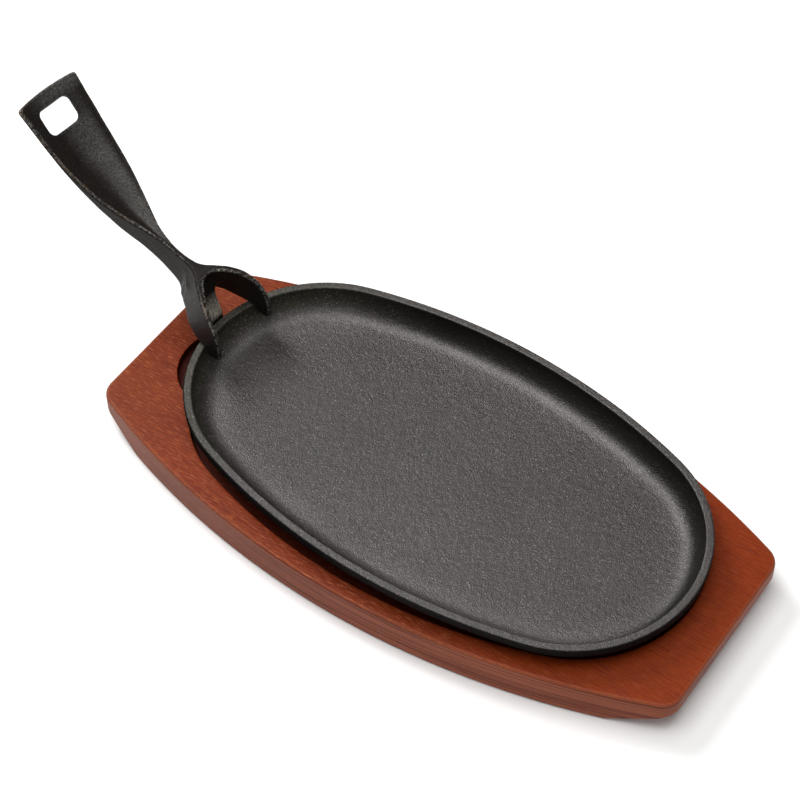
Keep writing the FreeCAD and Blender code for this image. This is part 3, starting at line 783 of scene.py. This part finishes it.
def stained_wood():
    nodes = Nodes("red stained wood")
    x = nodes.split(nodes.place)[0]
    growth = nodes.noise(60, 4, 0.6, nodes.stretch((0.10, 1, 1.4)), 0.3)
    fibre = nodes.noise(1500, 3, 0.6, nodes.stretch((0.03, 1, 1)))
    pore = nodes.noise(3000, 2.0, 0.55, nodes.stretch((0.055, 1, 1)))
    cloud = nodes.noise(14, 3, 0.5)
    rings = nodes.span(growth, 0.35, 0.68)
    color = nodes.mix(rings, (0.172, 0.0245, 0.0046), (0.110, 0.0125, 0.0026))
    color = nodes.mix(nodes.span(cloud, 0.42, 0.62, 0, 0.5), color, (0.162, 0.0265, 0.0038))
    warm = nodes.span(x, 0.02, 0.13)
    color = nodes.mix(nodes.math("MULTIPLY", warm, 0.7), color, (0.196, 0.025, 0.0015))
    color = nodes.mix(nodes.span(fibre, 0.48, 0.68, 0, 0.7), color, (0.088, 0.011, 0.0045))
    streak = nodes.math(
        "MULTIPLY", nodes.span(pore, 0.54, 0.65), nodes.span(x, 0.03, 0.12, 0.6, 0.18)
    )
    color = nodes.mix(streak, color, (0.42, 0.115, 0.042))
    dots = sparkle(nodes, 55, 0.035, 0.3)
    color = nodes.mix(dots, color, (0.03, 0.005, 0.006))
    rub_and_sheen, side = nodes.attribute("rub_and_sheen"), nodes.attribute("side")
    color = nodes.mix(nodes.math("MULTIPLY", rub_and_sheen, 0.16), color, (0.40, 0.15, 0.08))
    # The board's sides: a lighter pinkish side-grain tone, partly painted light standing in for
    # front light, and lighter again towards the right end.
    side_tone_and_light = nodes.mix(rings, (0.220, 0.060, 0.027), (0.170, 0.041, 0.018))
    side_tone_and_light = nodes.mix(nodes.span(x, -0.09, 0.06, 0, 0.5), side_tone_and_light, (0.300, 0.085, 0.040))
    line = nodes.noise(1150, 0, 0.5, nodes.stretch((0.009, 0.018, 1)))
    lines = nodes.math(
        "MULTIPLY", nodes.span(line, 0.52, 0.60), nodes.span(x, -0.09, -0.02, 0.15, 0.8)
    )
    side_tone_and_light = nodes.mix(lines, side_tone_and_light, (0.088, 0.017, 0.008))
    color = nodes.mix(nodes.math("MULTIPLY", side, 0.9), color, side_tone_and_light)
    # Painted shade: the recess goes near-black red.
    painted_recess_shade = nodes.math("MULTIPLY", nodes.attribute("painted_recess_shade"), 0.93)
    color = nodes.mix(painted_recess_shade, color, (0.022, 0.0022, 0.0015))
    rough = nodes.span(fibre, 0.3, 0.7, 0.40, 0.54)
    height = nodes.math("SUBTRACT", nodes.math("MULTIPLY", fibre, 0.6), streak)
    normal = nodes.bump(height, 0.0002, 0.5)
    return nodes.finish(color, rough, normal, Specular_IOR_Level=0.12)


def floor_paint():
    nodes = Nodes("pale floor")
    cloud = nodes.noise(3, 2, 0.5)
    color = nodes.mix(cloud, (0.90, 0.90, 0.895), (0.93, 0.93, 0.925))
    normal = nodes.bump(nodes.noise(300, 2, 0.5), 0.0002, 0.1)
    return nodes.finish(color, 0.85, normal, Specular_IOR_Level=0.1)


# ---------------------------------------------------------------- set

def add_light(name, spot, target, size, power):
    data = bpy.data.lights.new(name, "AREA")
    data.shape = "SQUARE"
    data.size = size
    data.energy = power
    lamp = bpy.data.objects.new(name, data)
    lamp.location = spot
    lamp.rotation_euler = (Vector(target) - Vector(spot)).to_track_quat("-Z", "Y").to_euler()
    bpy.context.scene.collection.objects.link(lamp)


def add_camera():
    data = bpy.data.cameras.new("camera")
    data.lens = 107.0
    data.sensor_width = 36.0
    data.clip_start, data.clip_end = 0.05, 50.0
    camera = bpy.data.objects.new("camera", data)
    spot = Vector((0.38349, -0.57820, 0.92532))
    target = Vector((-0.04703, 0.04229, 0.0))
    aim = (target - spot).to_track_quat("-Z", "Y")
    roll = Quaternion((0, 0, 1), math.radians(-0.51))
    camera.location = spot
    camera.rotation_mode = "QUATERNION"
    camera.rotation_quaternion = aim @ roll
    bpy.context.scene.collection.objects.link(camera)
    bpy.context.scene.camera = camera


def add_floor():
    mesh = bpy.data.meshes.new("floor")
    r = 6.0
    mesh.from_pydata([(-r, -r, 0), (r, -r, 0), (r, r, 0), (-r, r, 0)], [], [(0, 1, 2, 3)])
    floor = bpy.data.objects.new("floor", mesh)
    floor.location.z = -0.0002
    bpy.context.scene.collection.objects.link(floor)
    floor.data.materials.append(floor_paint())


def add_world():
    world = bpy.data.worlds.new("studio")
    world.use_nodes = True
    world.node_tree.nodes["Background"].inputs["Color"].default_value = (1, 1, 1, 1)
    world.node_tree.nodes["Background"].inputs["Strength"].default_value = 0.22
    bpy.context.scene.world = world


add_camera()
add_world()
add_floor()
add_light("overhead", (-0.02, -0.18, 1.5), (0, 0, 0), 1.2, 19)
add_light("left", (-1.25, 0.30, 1.25), (0, 0, 0.02), 0.7, 23)
add_light("right", (1.25, -0.75, 1.0), (0, 0, 0.02), 1.0, 3)
bpy.context.scene.view_settings.view_transform = "Standard"

make_board().data.materials.append(stained_wood())
make_plate().data.materials.append(plate_iron())
make_gripper().data.materials.append(handle_iron())
